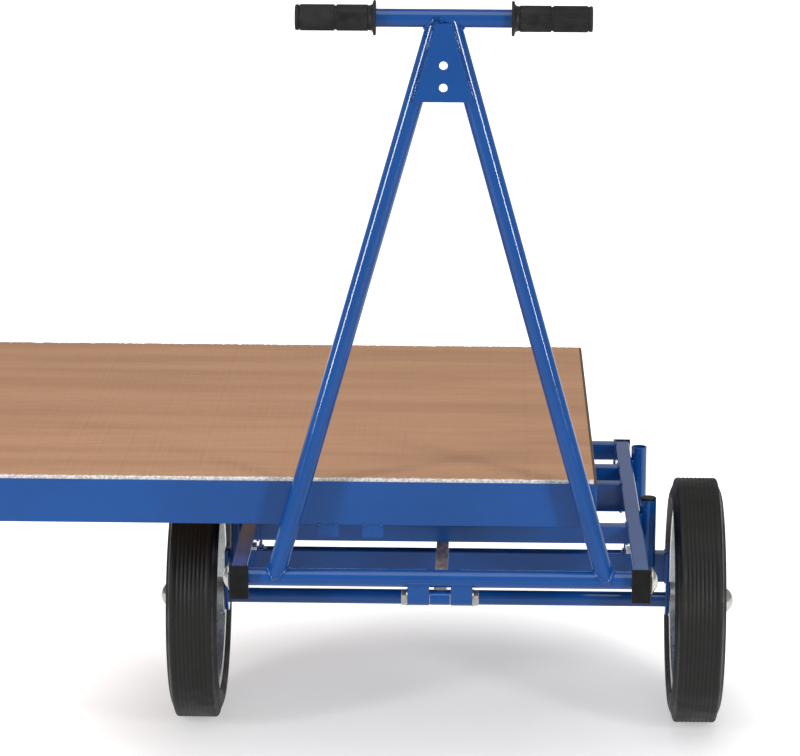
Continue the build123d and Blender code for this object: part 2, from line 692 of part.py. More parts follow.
with BuildPart() as clevis_ears:
    for low in (-EAR_OUT, EAR_IN):
        with BuildSketch(side(low)):
            with Locations((SHAFT_Y, PIN_Z)):
                Circle(EAR_R)
            with Locations((SHAFT_Y, (PIN_Z + SHAFT_Z) / 2)):
                Rectangle(2 * EAR_R, SHAFT_Z - PIN_Z)
            with Locations((SHAFT_Y, PIN_Z)):
                Circle(PIN_R, mode=Mode.SUBTRACT)
            with Locations((SHAFT_Y, SHAFT_Z)):
                Circle(CROSS_TUBE_R, mode=Mode.SUBTRACT)
        extrude(amount=EAR_OUT - EAR_IN)
save("clevis_ears", clevis_ears)

with BuildPart() as clevis_bolt:
    round_bar(side(-EAR_OUT), (SHAFT_Y, PIN_Z), PIN_R, 2 * EAR_OUT)
    hex_head(side(-EAR_OUT - PIN_HEAD_T), (SHAFT_Y, PIN_Z), PIN_HEAD_R, PIN_HEAD_T)
    hex_head(side(EAR_OUT), (SHAFT_Y, PIN_Z), PIN_HEAD_R, PIN_HEAD_T)
save("clevis_bolt", clevis_bolt)

# The rod slopes a little down from the clevis pin to its guide below the bolster.
with BuildPart() as push_rod:
    pin = Vector(PIVOT_X, PIVOT_Y + SHAFT_Y, PIN_Z)
    guided = Vector(PIVOT_X, PIVOT_Y + GUIDE_Y, GUIDE_ROD_Z)
    rod_plane = Plane(origin=pin, x_dir=(1, 0, 0), z_dir=guided - pin)
    with BuildSketch(rod_plane):
        Rectangle(ROD_WIDE, ROD_TALL)
    extrude(amount=(guided - pin).length + ROD_BACK - GUIDE_Y)
    round_bar(side(-KNUCKLE_HALF), (SHAFT_Y, PIN_Z), KNUCKLE_R, 2 * KNUCKLE_HALF)
    round_bar(side(-KNUCKLE_HALF), (SHAFT_Y, PIN_Z), PIN_R + RUNNING_GAP, 2 * KNUCKLE_HALF,
              mode=Mode.SUBTRACT)
save("push_rod", push_rod)

# The guide is a plate with a tall slot for the rod, carried forward from the bolster by a strap.
with BuildPart() as rod_guide:
    with BuildSketch(front(GUIDE_Y + GUIDE_T / 2)):
        with Locations((0, (GUIDE_BOTTOM + RAIL_TOP - LOW_MEMBER_TALL) / 2)):
            Rectangle(2 * GUIDE_HALF, RAIL_TOP - LOW_MEMBER_TALL - GUIDE_BOTTOM)
        with Locations((0, (GUIDE_SLOT_LOW + GUIDE_SLOT_HIGH) / 2)):
            Rectangle(2 * GUIDE_SLOT_HALF, GUIDE_SLOT_HIGH - GUIDE_SLOT_LOW, mode=Mode.SUBTRACT)
    extrude(amount=GUIDE_T)
    bolster_face = BOLSTER_Y - MEMBER_DEEP / 2
    bar(front(bolster_face), (0, RAIL_TOP - LOW_MEMBER_TALL - GUIDE_T / 2),
        2 * GUIDE_HALF, GUIDE_T, bolster_face - GUIDE_Y - GUIDE_T / 2)
save("rod_guide", rod_guide)
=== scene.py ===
"""Finishes a platform handcart with turntable steering and an A-frame drawbar."""
import json
import math
import random

import bmesh
import bpy
from bpy.props import (
    FloatProperty, FloatVectorProperty, IntProperty, PointerProperty,
)
from mathutils import Matrix, Vector, noise

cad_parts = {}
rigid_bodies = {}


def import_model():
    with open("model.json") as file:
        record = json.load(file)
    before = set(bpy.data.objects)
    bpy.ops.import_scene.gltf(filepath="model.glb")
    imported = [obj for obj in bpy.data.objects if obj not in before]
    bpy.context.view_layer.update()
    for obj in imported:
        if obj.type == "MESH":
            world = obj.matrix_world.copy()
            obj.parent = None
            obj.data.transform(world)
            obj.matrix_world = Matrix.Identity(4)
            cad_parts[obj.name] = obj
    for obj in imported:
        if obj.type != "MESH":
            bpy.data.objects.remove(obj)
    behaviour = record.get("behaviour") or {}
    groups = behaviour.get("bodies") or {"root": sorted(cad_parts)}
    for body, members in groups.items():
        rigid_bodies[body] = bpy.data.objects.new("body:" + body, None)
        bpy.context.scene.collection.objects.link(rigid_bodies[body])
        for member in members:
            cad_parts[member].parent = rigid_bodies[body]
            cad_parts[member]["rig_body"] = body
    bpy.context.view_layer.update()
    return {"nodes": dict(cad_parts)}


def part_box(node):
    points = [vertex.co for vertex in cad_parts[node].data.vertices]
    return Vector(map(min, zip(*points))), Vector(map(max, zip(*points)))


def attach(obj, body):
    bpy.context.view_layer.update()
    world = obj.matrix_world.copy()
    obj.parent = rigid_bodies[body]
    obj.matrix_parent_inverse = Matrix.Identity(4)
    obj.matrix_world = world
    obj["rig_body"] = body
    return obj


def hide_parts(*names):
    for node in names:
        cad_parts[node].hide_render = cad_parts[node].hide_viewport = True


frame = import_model()

bl_info = {
    "name": "Platform handcart",
    "version": (1, 0, 0),
    "blender": (4, 5, 0),
    "location": "3D View > Sidebar > Handcart",
    "description": "Finishes the handcart's pieces around its CAD frame and lights them",
    "category": "Add Mesh",
}

MM = 0.001
MERGE = 0.00001
FLAT = math.radians(0.5)
HARD = math.radians(40)
SOFT = math.radians(35)
WHEELS = ("front_left", "front_right", "rear_near", "rear_far")
ring_low, ring_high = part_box("turntable_lower_ring")
STEER_X = (ring_low.x + ring_high.x) / 2
STEER_Y = (ring_low.y + ring_high.y) / 2
X, Y, Z = Vector((1, 0, 0)), Vector((0, 1, 0)), Vector((0, 0, 1))

# Where the frame's tubes meet, in millimetres from the foot of the steering axis
TUBE_HALF = 12.5
RAIL_X = 315
RAIL_INNER = RAIL_X - TUBE_HALF
RAIL_TOP = 367
RAIL_TALL = 50
MEMBERS = ((-279.5, 30), (0.5, RAIL_TALL), (116.5, 30), (285.5, 30))
MEMBER_Z = 352
BEARER_X = 90
SLEEVE_Y = 184
AXLE_Y = -158
AXLE_MID_X = 7
BEAM_Z = 263
BEAM_HALF = 25
END_PLATE_X = 366
DECK_BOTTOM = 421
DECK_HALF = 500
DECK_BEARERS = (180, -180, -580, -970, -1360, -1540)
LUG_X = (-178, -107)
REAR_X = -1450
POST_Y = 300
POST_HALF = 25


# ------------------------------------------------------------------ shared tools


def at(x, y, z):
    """A point in metres, given in millimetres from the foot of the steering axis."""
    return Vector((STEER_X + x * MM, STEER_Y + y * MM, z * MM))


def middle(node):
    low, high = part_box(node)
    return (low + high) / 2


def finish_called(name):
    """The finish made here, not the plain one that came with the CAD model."""
    return bpy.data.materials[f"{name}_finish"]


def add_piece(name, shape, slot, body, nodes=(), soft=SOFT, weighted=False):
    """Turns a finished shape into a piece that rides on a body and stands for its CAD nodes."""
    bmesh.ops.recalc_face_normals(shape, faces=shape.faces)
    mesh = bpy.data.meshes.new(name)
    shape.to_mesh(mesh)
    shape.free()
    mesh.shade_smooth()
    mesh.set_sharp_from_angle(angle=soft)
    mesh.materials.append(finish_called(slot))
    made = bpy.data.objects.new(name, mesh)
    bpy.context.scene.collection.objects.link(made)
    if weighted:
        steady = made.modifiers.new("flat faces", "WEIGHTED_NORMAL")
        steady.keep_sharp = True
    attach(made, body)
    if nodes:
        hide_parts(*nodes)
    return made


def eased(node, edge, steps=2):
    """A merged copy of a CAD piece with its hard edges rounded off."""
    shape = bmesh.new()
    shape.from_mesh(frame["nodes"][node].data)
    bmesh.ops.remove_doubles(shape, verts=shape.verts, dist=MERGE)
    bmesh.ops.dissolve_limit(shape, angle_limit=FLAT, verts=shape.verts, edges=shape.edges)
    hard = [e for e in shape.edges if len(e.link_faces) == 2 and e.calc_face_angle() > HARD]
    bmesh.ops.bevel(shape, geom=hard, offset=edge, offset_type="OFFSET", segments=steps,
                    profile=0.5, affect="EDGES", clamp_overlap=True, material=-1)
    return shape


def add_eased(node, edge, slot="blue_frame", steps=2):
    body = frame["nodes"][node]["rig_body"]
    return add_piece(f"{node}_finish", eased(node, edge, steps), slot, body, [node],
                     soft=math.radians(50), weighted=True)


def turned(shape, outline, origin, axis, steps):
    """Turns a closed outline of (along, radius) points in millimetres round an axis."""
    side = axis.orthogonal().normalized()
    corners = [
        shape.verts.new(origin + axis * (along * MM) + side * (radius * MM))
        for along, radius in outline
    ]
    rim = [shape.edges.new(pair) for pair in zip(corners, corners[1:] + corners[:1])]
    bmesh.ops.spin(shape, geom=corners + rim, cent=origin, axis=axis, angle=math.tau,
                   steps=steps, use_merge=True, use_duplicate=False)
    bmesh.ops.remove_doubles(shape, verts=shape.verts, dist=MERGE)


def arc(centre, radius, start, end, steps):
    """Points of (along, radius) on a round corner of an outline, angles in degrees."""
    turns = [math.radians(start + (end - start) * i / steps) for i in range(steps + 1)]
    return [(centre[0] + radius * math.cos(t), centre[1] + radius * math.sin(t)) for t in turns]


def hexagon(shape, place, axis, radius, height):
    """Hexagon head with a chamfered top, standing at a place along an axis, in metres."""
    turn = axis.to_track_quat("Z", "Y").to_matrix().to_4x4()
    base = bmesh.ops.create_circle(shape, cap_ends=True, segments=6, radius=radius,
                                   matrix=Matrix.Translation(place) @ turn)
    face = base["verts"][0].link_faces[0]
    grown = bmesh.ops.extrude_face_region(shape, geom=[face], use_keep_orig=True)
    top = [e for e in grown["geom"] if isinstance(e, bmesh.types.BMVert)]
    bmesh.ops.translate(shape, verts=top, vec=axis * height)
    crown = [e for e in grown["geom"] if isinstance(e, bmesh.types.BMEdge)]
    bmesh.ops.bevel(shape, geom=crown, offset=height * 0.2, offset_type="OFFSET", segments=2,
                    profile=0.5, affect="EDGES", clamp_overlap=True, material=-1)


def bead(shape, path, radius, closed, dice, ripple=0.16):
    """Lays one weld bead of rippled thickness along a path, in metres."""
    curve = bpy.data.curves.new("bead", "CURVE")
    curve.dimensions = "3D"
    curve.bevel_depth = radius
    curve.bevel_resolution = 2
    curve.use_fill_caps = True
    line = curve.splines.new("POLY")
    line.points.add(len(path) - 1)
    for count, (point, place) in enumerate(zip(line.points, path)):
        point.co = (*place, 1)
        point.radius = 1 + ripple * (1 if count % 2 else -1) + dice.uniform(-0.1, 0.1)
    line.use_cyclic_u = closed
    holder = bpy.data.objects.new("bead", curve)
    made = bpy.data.meshes.new_from_object(holder)
    shape.from_mesh(made)
    bpy.data.objects.remove(holder)
    bpy.data.curves.remove(curve)
    bpy.data.meshes.remove(made)


def straight(start, end, step):
    count = max(3, round((end - start).length / step))
    return [start.lerp(end, i / count) for i in range(count + 1)]


def frame_seam(centre, across, up, half_across, half_up, step):
    """Closed path round a rectangular tube end, in metres."""
    corners = [centre + across * (a * half_across) + up * (b * half_up)
               for a, b in ((-1, -1), (1, -1), (1, 1), (-1, 1))]
    path = []
    for here, there in zip(corners, corners[1:] + corners[:1]):
        path += straight(here, there, step)[:-1]
    return path


def spatter(shape, place, normal, spread, count, dice):
    """Small metal flecks frozen on the surface round a weld."""
    side = normal.orthogonal().normalized()
    other = normal.cross(side)
    for _ in range(count):
        spot = place + side * dice.gauss(0, spread) + other * dice.gauss(0, spread)
        bmesh.ops.create_icosphere(shape, subdivisions=1, radius=dice.uniform(0.5, 1.1) * MM,
                                   matrix=Matrix.Translation(spot))


# ------------------------------------------------------------------- materials


def add_node(tree, kind, settings=None, **sockets):
    """Adds a shader node. A socket's value is a constant or the socket that feeds it."""
    made = tree.nodes.new(kind)
    for key, value in (settings or {}).items():
        setattr(made, key, value)
    for key, value in sockets.items():
        socket = made.inputs[key.replace("_", " ")]
        if isinstance(value, bpy.types.NodeSocket):
            tree.links.new(value, socket)
        else:
            socket.default_value = value
    return made


def blank(name):
    """An empty material with its shader, and its Object coordinates."""
    made = bpy.data.materials.new(f"{name}_finish")
    made.use_nodes = True
    tree = made.node_tree
    tree.nodes.clear()
    shader = add_node(tree, "ShaderNodeBsdfPrincipled")
    ends = add_node(tree, "ShaderNodeOutputMaterial")
    tree.links.new(shader.outputs["BSDF"], ends.inputs["Surface"])
    place = add_node(tree, "ShaderNodeTexCoord").outputs["Object"]
    return made, tree, shader, place


def stretch(tree, place, scale):
    return add_node(tree, "ShaderNodeMapping", Vector=place, Scale=scale).outputs["Vector"]


def cloud(tree, place, scale, detail=3.0, rough=0.55):
    return add_node(tree, "ShaderNodeTexNoise", Vector=place, Scale=scale, Detail=detail,
                    Roughness=rough).outputs["Fac"]


def blend(tree, share, first, second):
    """Colour between two colours by a share from 0 to 1."""
    made = tree.nodes.new("ShaderNodeMix")
    made.data_type = "RGBA"
    for socket, value in zip((made.inputs[0], made.inputs[6], made.inputs[7]),
                             (share, first, second)):
        if isinstance(value, bpy.types.NodeSocket):
            tree.links.new(value, socket)
        else:
            socket.default_value = value if isinstance(value, float) else (*value, 1)
    return made.outputs[2]


def spread(tree, value, low, high, to_low=0.0, to_high=1.0):
    made = add_node(tree, "ShaderNodeMapRange", {"interpolation_type": "SMOOTHSTEP"}, Value=value)
    for key, number in (("From Min", low), ("From Max", high),
                        ("To Min", to_low), ("To Max", to_high)):
        made.inputs[key].default_value = number
    return made.outputs["Result"]


def sums(tree, kind, first, second):
    made = tree.nodes.new("ShaderNodeMath")
    made.operation = kind
    for socket, value in zip(made.inputs, (first, second)):
        if isinstance(value, bpy.types.NodeSocket):
            tree.links.new(value, socket)
        else:
            socket.default_value = value
    return made.outputs[0]


def rough_skin(tree, shader, height, strength, depth):
    made = add_node(tree, "ShaderNodeBump", Height=height, Strength=strength, Distance=depth)
    tree.links.new(made.outputs["Normal"], shader.inputs["Normal"])


def dim(colour, share):
    return tuple(c * share for c in colour)


def paint_blue(colours):
    """Semi-gloss powder coat with a faint orange-peel skin."""
    made, tree, shader, place = blank("blue_frame")
    wide = spread(tree, cloud(tree, place, 7, 4), 0.3, 0.7)
    tone = blend(tree, wide, dim(colours.blue, 0.93), dim(colours.blue, 1.07))
    fine = spread(tree, cloud(tree, place, 900, 2), 0.62, 0.78)
    tree.links.new(blend(tree, fine, tone, dim(colours.blue, 1.25)), shader.inputs["Base Color"])
    tree.links.new(spread(tree, cloud(tree, place, 40, 3), 0.3, 0.7, 0.09, 0.15),
                   shader.inputs["Roughness"])
    rough_skin(tree, shader, cloud(tree, place, 420, 2), 0.07, 0.0004)
    shader.inputs["Specular IOR Level"].default_value = 0.44


def wood_board(colours):
    """Beech-coloured board: soft bands and fine grain, chipped long edges and dark ends."""
    made, tree, shader, place = blank("board")
    low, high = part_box("deck_board")
    bands = cloud(tree, stretch(tree, place, (0.9, 9, 1)), 1.6, 4, 0.5)
    grain = cloud(tree, stretch(tree, place, (5, 190, 60)), 1.5, 5, 0.65)
    flecks = cloud(tree, stretch(tree, place, (40, 420, 60)), 1.0, 2, 0.5)
    tone = blend(tree, spread(tree, bands, 0.32, 0.68), colours.board_dark, colours.board_light)
    tone = blend(tree, sums(tree, "MULTIPLY", spread(tree, grain, 0.45, 0.7), 0.28), tone,
                 dim(colours.board_dark, 0.8))
    tone = blend(tree, sums(tree, "MULTIPLY", spread(tree, flecks, 0.6, 0.75), 0.25), tone,
                 dim(colours.board_dark, 0.62))
    parts = add_node(tree, "ShaderNodeSeparateXYZ", Vector=place).outputs
    mid = (low.y + high.y) / 2
    reach = sums(tree, "ABSOLUTE", sums(tree, "SUBTRACT", parts["Y"], mid), 0.0)
    inset = sums(tree, "SUBTRACT", (high.y - low.y) / 2, reach)
    ragged = cloud(tree, stretch(tree, place, (90, 20, 20)), 1.0, 4, 0.7)
    width = spread(tree, ragged, 0.3, 0.75, 0.001, 0.009)
    chipped = sums(tree, "LESS_THAN", inset, width)
    raw = blend(tree, spread(tree, cloud(tree, place, 260, 3), 0.4, 0.6),
                colours.board_chip, dim(colours.board_chip, 0.62))
    tone = blend(tree, chipped, tone, raw)
    ahead = sums(tree, "SUBTRACT", parts["X"], (low.x + high.x) / 2)
    end_strip = (high.x - low.x) / 2 - 0.0045
    end = sums(tree, "GREATER_THAN", sums(tree, "ABSOLUTE", ahead, 0.0), end_strip)
    tone = blend(tree, end, tone, dim(colours.board_dark, 0.22))
    tree.links.new(tone, shader.inputs["Base Color"])
    tree.links.new(spread(tree, grain, 0.3, 0.7, 0.5, 0.64), shader.inputs["Roughness"])
    shader.inputs["Specular IOR Level"].default_value = 0.3
    rough_skin(tree, shader, sums(tree, "ADD", grain, flecks), 0.12, 0.0005)


def tyre_rubber(colours):
    """Charcoal rubber, a little dusty and worn paler in patches."""
    made, tree, shader, place = blank("tyre")
    patches = spread(tree, cloud(tree, place, 22, 5, 0.6), 0.35, 0.7)
    dust = spread(tree, cloud(tree, place, 330, 3, 0.6), 0.5, 0.8)
    tone = blend(tree, patches, dim(colours.rubber, 0.75), dim(colours.rubber, 1.3))
    tree.links.new(blend(tree, dust, tone, dim(colours.rubber, 2.2)), shader.inputs["Base Color"])
    tree.links.new(spread(tree, patches, 0, 1, 0.5, 0.66), shader.inputs["Roughness"])
    rough_skin(tree, shader, cloud(tree, place, 700, 3), 0.25, 0.0004)
    shader.inputs["Specular IOR Level"].default_value = 0.3


def plated(name, colour, cool, rough, grit):
    """Zinc plate or ground steel with a cloudy sheen."""
    made, tree, shader, place = blank(name)
    shader.inputs["Metallic"].default_value = 0.9
    cloudy = spread(tree, cloud(tree, place, 28, 4, 0.6), 0.3, 0.7)
    tree.links.new(blend(tree, cloudy, colour, cool), shader.inputs["Base Color"])
    tree.links.new(spread(tree, cloud(tree, place, 150, 3), 0.3, 0.7, rough * 0.8, rough * 1.25),
                   shader.inputs["Roughness"])
    rough_skin(tree, shader, cloud(tree, place, 520, 2), grit, 0.0003)


def moulded(name, colour, rough, grit, scale):
    """Black moulded rubber or plastic with a fine grained skin."""
    made, tree, shader, place = blank(name)
    tone = spread(tree, cloud(tree, place, 60, 4), 0.3, 0.75)
    tree.links.new(blend(tree, tone, colour, dim(colour, 1.9)), shader.inputs["Base Color"])
    tree.links.new(spread(tree, tone, 0, 1, rough, rough + 0.12), shader.inputs["Roughness"])
    rough_skin(tree, shader, cloud(tree, place, scale, 3), grit, 0.0004)
    shader.inputs["Specular IOR Level"].default_value = 0.22


def bar_steel(colours):
    """Rolled bar with dull grey-brown scale."""
    made, tree, shader, place = blank("bare_steel")
    shader.inputs["Metallic"].default_value = 0.35
    scale = spread(tree, cloud(tree, stretch(tree, place, (1, 0.25, 1)), 130, 5, 0.65), 0.35, 0.7)
    tree.links.new(blend(tree, scale, dim(colours.bar, 0.6), dim(colours.bar, 1.3)),
                   shader.inputs["Base Color"])
    tree.links.new(spread(tree, scale, 0, 1, 0.62, 0.42), shader.inputs["Roughness"])
    rough_skin(tree, shader, scale, 0.2, 0.0003)


# ------------------------------------------------------------------- properties


def colour_of(name, description, default):
    return FloatVectorProperty(name=name, description=description, subtype="COLOR", size=3,
                               min=0, max=1, default=default)


def length_of(name, description, default):
    return FloatProperty(name=name, description=description, default=default, min=0,
                         unit="LENGTH", subtype="DISTANCE")


class HandcartColours(bpy.types.PropertyGroup):
    """Colours of the cart's finishes."""
    blue: colour_of("Blue", "Powder coat of the frame", (0.003, 0.054, 0.224))
    board_light: colour_of("Board, light", "Pale bands of the board", (0.510, 0.272, 0.150))
    board_dark: colour_of("Board, dark", "Dark bands of the board", (0.425, 0.222, 0.120))
    board_chip: colour_of("Board, chipped", "Raw fibres at the chipped edge", (0.70, 0.66, 0.63))
    rubber: colour_of("Tyre", "Solid rubber of the tyres", (0.0050, 0.0050, 0.0042))
    zinc: colour_of("Zinc", "Plate of the rims", (0.56, 0.58, 0.57))
    fastener: colour_of("Fasteners", "Plate of caps, nuts and bolts", (0.50, 0.48, 0.455))
    bar: colour_of("Bar", "Bare bar of the push rod", (0.80, 0.74, 0.70))
    grip: colour_of("Grip", "Rubber of the handle grips", (0.010, 0.010, 0.010))
    plastic: colour_of("Plastic", "End plugs", (0.003, 0.003, 0.003))


class HandcartWheel(bpy.types.PropertyGroup):
    """Sizes of the moulded tread and the pressed rim."""
    steps: IntProperty(name="Steps", description="Steps round a tyre", default=144, min=24)
    grooves: IntProperty(name="Grooves", description="Fine grooves round the tread", default=8, min=1)
    groove_width: length_of("Groove width", "Width of one tread groove", 0.0016)
    groove_depth: length_of("Groove depth", "Depth of one tread groove", 0.0008)
    bolts: IntProperty(name="Bolts", description="Bolts through a rim's disc", default=5, min=3)
    bolt_circle: length_of("Bolt circle", "Radius of the rim bolts' circle", 0.098)


class HandcartDrawbar(bpy.types.PropertyGroup):
    """Sizes of the A-frame drawbar and its welds."""
    leg_foot: length_of("Leg foot", "A leg's foot from the middle", 0.260)
    leg_head: length_of("Leg head", "A leg's head from the middle", 0.0095)
    leg_radius: length_of("Leg radius", "Outer radius of a leg", 0.015)
    tube_radius: length_of("Tube radius", "Outer radius of the cross and handle tubes", 0.014)
    grip_ribs: IntProperty(name="Grip ribs", description="Ribs round a grip", default=44, min=8)
    bead: length_of("Weld bead", "Radius of a weld bead", 0.0030)
    flecks: IntProperty(name="Flecks", description="Spatter flecks at a weld", default=12, min=0)


class HandcartStage(bpy.types.PropertyGroup):
    """Camera and light."""
    eye: FloatVectorProperty(name="Camera", description="Camera position", subtype="TRANSLATION",
                             unit="LENGTH", size=3, default=(0.6966, -5.9074, 1.8905))
    yaw: FloatProperty(name="Yaw", description="Turn of the camera to the left", subtype="ANGLE",
                       unit="ROTATION", default=math.radians(1.35))
    pitch: FloatProperty(name="Pitch", description="Tilt of the camera below the horizon",
                         subtype="ANGLE", unit="ROTATION", default=math.radians(12.753))
    roll: FloatProperty(name="Roll", description="Roll of the camera", subtype="ANGLE",
                        unit="ROTATION", default=math.radians(0.242))
    lens: FloatProperty(name="Lens", description="Focal length", subtype="DISTANCE_CAMERA",
                        unit="CAMERA", default=160.71)
    sky: FloatProperty(name="Sky", description="Strength of the pale surroundings", default=0.42,
                       min=0)
    key: FloatProperty(name="Key", description="Strength of the soft top light", default=1.2, min=0)
    strips: FloatProperty(name="Strips", description="Power of the two front strip lights",
                          subtype="POWER", unit="POWER", default=56, min=0)


# ------------------------------------------------------------------- operators


class HANDCART_OT_finishes(bpy.types.Operator):
    """Make every finish and put it on the CAD pieces"""
    bl_idname = "handcart.finishes"
    bl_label = "Finishes"

    def execute(self, context):
        colours = context.scene.handcart_colours
        paint_blue(colours)
        wood_board(colours)
        tyre_rubber(colours)
        plated("wheel_zinc", colours.zinc, dim(colours.zinc, 0.78), 0.32, 0.1)
        plated("zinc_fasteners", colours.fastener, dim(colours.fastener, 0.8), 0.24, 0.06)
        plated("bearing_steel", colours.fastener, dim(colours.fastener, 0.9), 0.14, 0.02)
        moulded("grip_rubber", colours.grip, 0.46, 0.25, 900)
        moulded("black_plastic", colours.plastic, 0.38, 0.18, 1100)
        bar_steel(colours)
        for node in frame["nodes"].values():
            for held in node.material_slots:
                wanted = held.material.name.split(".")[0]
                held.material = finish_called(wanted)
        return {"FINISHED"}


class HANDCART_OT_deck(bpy.types.Operator):
    """Ease the steel deck frame's edges and chip the board's long edges"""
    bl_idname = "handcart.deck"
    bl_label = "Deck"

    def execute(self, context):
        for node in ("deck_side_rails", "deck_end_rails", "edge_lugs"):
            add_eased(node, 0.9 * MM)
        for node in ("deck_bearers", "rear_posts", "rear_gussets", "rear_axle_beam",
                     "rear_end_plates"):
            add_eased(node, 0.7 * MM)
        self.board()
        return {"FINISHED"}

    def board(self, cuts=330, edge=1.6 * MM, reach=2.5 * MM):
        """A board whose two long top edges are eased and then nibbled away unevenly."""
        low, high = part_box("deck_board")
        shape = bmesh.new()
        made = bmesh.ops.create_cube(shape, size=1)
        bmesh.ops.scale(shape, vec=high - low, verts=made["verts"])
        bmesh.ops.translate(shape, vec=(low + high) / 2, verts=made["verts"])
        along = [e for e in shape.edges if abs((e.verts[0].co - e.verts[1].co).x) > MM]
        bmesh.ops.subdivide_edges(shape, edges=along, cuts=cuts, use_grid_fill=True)
        top = high.z - MERGE
        rims = [e for e in shape.edges
                if all(v.co.z > top and min(v.co.y - low.y, high.y - v.co.y) < MERGE
                       for v in e.verts)]
        bmesh.ops.bevel(shape, geom=rims, offset=edge, offset_type="OFFSET", segments=2,
                        profile=0.5, affect="EDGES", clamp_overlap=True, material=-1)
        for v in shape.verts:
            inset = min(v.co.y - low.y, high.y - v.co.y)
            if v.co.z > high.z - reach and inset < reach:
                bite = max(0.0, noise.noise(v.co * 160)) + 0.5 * max(0.0, noise.noise(v.co * 420))
                inward = 1 if v.co.y < (low.y + high.y) / 2 else -1
                v.co.y += inward * bite * 1.8 * MM
                v.co.z -= bite * 1.4 * MM
        add_piece("deck_board_finish", shape, "board", "deck", ["deck_board"],
                  soft=math.radians(50), weighted=True)


class HANDCART_OT_turntable(bpy.types.Operator):
    """Ease the edges of the turntable's plate, rings and bolts"""
    bl_idname = "handcart.turntable"
    bl_label = "Turntable"

    def execute(self, context):
        for node in ("turntable_plate", "turntable_upper_ring", "turntable_lower_ring"):
            add_eased(node, 0.6 * MM)
        return {"FINISHED"}


class HANDCART_OT_bogie(bpy.types.Operator):
    """Ease the edges of the bogie's tubes, plates, sleeves and plugs"""
    bl_idname = "handcart.bogie"
    bl_label = "Bogie"

    def execute(self, context):
        for node in ("bogie_rail_left", "bogie_rail_right", "bolster", "cross_members",
                     "turntable_bearers", "front_axle_beam", "axle_hangers", "front_end_plates",
                     "rod_guide", "sleeves"):
            add_eased(node, 0.6 * MM)
        add_eased("end_plugs", 1.4 * MM, "black_plastic", 3)
        return {"FINISHED"}


class HANDCART_OT_caps(bpy.types.Operator):
    """Make the domed push caps, washers and spacers of both axles and the drawbar shaft"""
    bl_idname = "handcart.caps"
    bl_label = "Caps"

    axle_bore = 12.6
    spacer = 19.8
    washer = 20
    axle_cap = 22
    axle_tip = 16
    hub_long = 86
    side_play = 0.3
    shaft = 10
    collar = 17
    shaft_cap = 21
    shaft_tip = 11
    curl = 1.4

    def execute(self, context):
        for end, axis in (("front", X), ("rear", Y)):
            node = f"{end}_axle_caps"
            shape = bmesh.new()
            low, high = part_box(node)
            centre = (low + high) / 2
            half = (high - low).dot(axis) / 2 / MM
            low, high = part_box(f"{end}_end_plates")
            plate = (high - low).dot(axis) / 2 / MM
            for way in (-1, 1):
                self.axle_end(shape, centre, axis * way, half, plate)
            add_piece(f"{node}_finish", shape, "zinc_fasteners",
                      frame["nodes"][node]["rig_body"], [node])
        low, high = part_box("drawbar_shaft_caps")
        centre = (low + high) / 2
        half = (high - low).x / 2 / MM
        rail = (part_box("bogie_rail_right")[1].x - centre.x) / MM
        shape = bmesh.new()
        base = half - self.shaft_tip
        for way in (-1, 1):
            outline = [(rail, self.shaft), (rail, self.collar - 1), (rail + 1, self.collar),
                       (base, self.collar), (base, self.shaft_cap - self.curl),
                       *self.crown(half, self.shaft_cap, self.shaft_tip, 1.4, 2.4),
                       (half, 0), (base, 0), (base, self.shaft)]
            turned(shape, outline, centre, X * way, 48)
        add_piece("drawbar_shaft_caps_finish", shape, "zinc_fasteners", "bogie",
                  ["drawbar_shaft_caps"])
        return {"FINISHED"}

    def crown(self, half, radius, tip, rim_in, dome_in):
        """Points from a cap's curled rim over its dome to just short of its tip."""
        ball = (radius**2 + tip**2) / (2 * tip)
        reach = math.degrees(math.asin((radius - dome_in) / ball))
        rim = arc((half - tip + self.curl, radius - rim_in), self.curl, 180, 70, 4)
        return rim + arc((half - ball, 0), ball, reach, 2, 12)

    def axle_end(self, shape, centre, axis, half, plate):
        """Spacer, washer and domed cap on one axle end."""
        bore, washer = self.axle_bore, self.washer
        tip = half - self.axle_tip
        hub = tip - 6
        inner = hub - self.hub_long - self.side_play
        turned(shape, [(plate, bore), (plate, self.spacer), (inner, self.spacer), (inner, bore)],
               centre, axis, 48)
        turned(shape, [(hub + 0.3, bore), (hub + 0.3, washer - 0.6), (hub + 0.9, washer),
                       (hub + 2.7, washer), (hub + 3.3, washer - 0.6), (hub + 3.3, bore)],
               centre, axis, 48)
        turned(shape, [(tip, 0), (tip, self.axle_cap - 1.2),
                       *self.crown(half, self.axle_cap, self.axle_tip, 1.4, 2.4), (half, 0)],
               centre, axis, 56)


